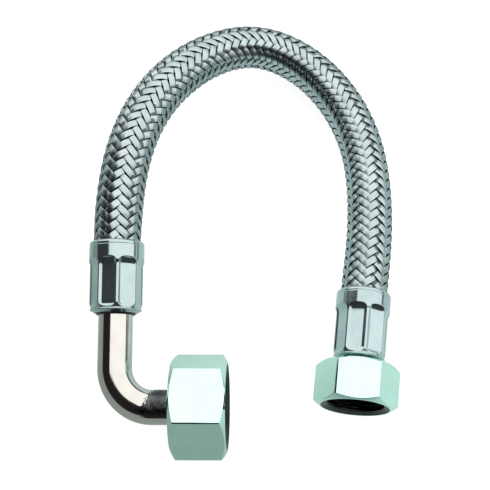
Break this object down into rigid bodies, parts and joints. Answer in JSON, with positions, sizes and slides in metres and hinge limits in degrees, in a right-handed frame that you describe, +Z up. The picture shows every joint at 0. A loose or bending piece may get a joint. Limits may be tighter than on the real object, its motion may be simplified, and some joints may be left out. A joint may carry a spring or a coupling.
{
  "type": "braided supply line",
  "caption": "Short stainless braided water supply hose, bent in an arch, with crimped ferrules, an elbow tube with a large hex union nut at one end and a smaller hex swivel nut at the other.",
  "frame": {"origin": "where the elbow nut's thread starts, on that nut's axis", "axes": "+X out of the elbow nut's mouth, +Y along the elbow's leg towards the hose, +Z up from the surface the line lies on, which is at z = -15 mm"},
  "size_m": [0.1012, 0.1558, 0.0366],
  "materials": {
    "plated_nut": "bright plated brass, slightly cool",
    "nickel_tube": "bright nickel plate, slightly warm",
    "ferrule_steel": "polished, with pressed flats",
    "braid_steel": "bright woven wire",
    "liner_rubber": "matte black",
    "seal_rubber": "matte black",
    "insert_brass": "machined"
  },
  "bodies": {
    "line": {"elbow_collar": "nickel_tube", "elbow_tube": "nickel_tube", "elbow_ferrule": "ferrule_steel", "hose_braid": "braid_steel", "hose_liner": "liner_rubber", "straight_ferrule": "ferrule_steel", "straight_insert": "insert_brass"},
    "elbow_seal": {"elbow_gasket": "seal_rubber"},
    "elbow_union": {"elbow_nut": "plated_nut"},
    "straight_seal": {"straight_gasket": "seal_rubber"},
    "straight_union": {"straight_nut": "plated_nut"}
  },
  "joints": [
    {"name": "elbow_nut_slide", "type": "slide", "parent": "line", "child": "elbow_seal", "axis": [1, 0, 0], "range_m": [0, 0.002]},
    {"name": "elbow_nut_spin", "type": "hinge", "parent": "elbow_seal", "child": "elbow_union", "pos_m": [0, 0, 0], "axis": [1, 0, 0], "continuous": true},
    {"name": "straight_nut_slide", "type": "slide", "parent": "line", "child": "straight_seal", "axis": [-0.0958, -0.9954, 0], "range_m": [0, 0.001]},
    {"name": "straight_nut_spin", "type": "hinge", "parent": "straight_seal", "child": "straight_union", "pos_m": [0.042, 0.0015, -0.003], "axis": [-0.0958, -0.9954, 0], "continuous": true}
  ]
}
